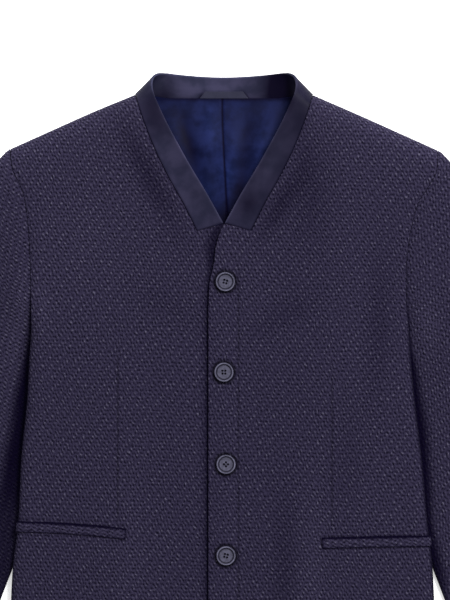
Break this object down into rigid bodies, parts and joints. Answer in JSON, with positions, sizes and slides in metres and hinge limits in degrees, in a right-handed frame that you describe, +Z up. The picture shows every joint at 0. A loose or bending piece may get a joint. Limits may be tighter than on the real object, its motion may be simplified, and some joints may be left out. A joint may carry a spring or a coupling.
{
  "type": "collarless V-neck blazer laid flat",
  "caption": "Collarless V-neck wool blazer with a satin neckband, buttoned and laid flat front up, sleeves spread outwards and lying partly under its sides.",
  "frame": {"origin": "centre of the garment's plan box, on the surface that it lies on", "axes": "+X to the wearer's left across both sleeves, +Y from the hem to the neck, +Z up out of the front"},
  "size_m": [0.8508, 0.745, 0.0353],
  "materials": {
    "wool": "textured wool, matt",
    "satin": "smooth satin-faced band, low sheen",
    "lining": "smooth viscose lining, soft sheen",
    "label": "woven label, bare",
    "button": "satin"
  },
  "bodies": {
    "root": {"front_left": "wool", "front_right": "wool", "side_left": "wool", "side_right": "wool", "back_left": "wool", "back_right": "wool", "sleeve_left_top": "wool", "sleeve_left_under": "wool", "sleeve_right_top": "wool", "sleeve_right_under": "wool", "welt_left": "wool", "welt_right": "wool", "neckband": "satin", "lining_back_left": "lining", "lining_back_right": "lining", "label": "label", "button_1": "button", "button_2": "button", "button_3": "button", "button_4": "button"}
  },
  "joints": []
}
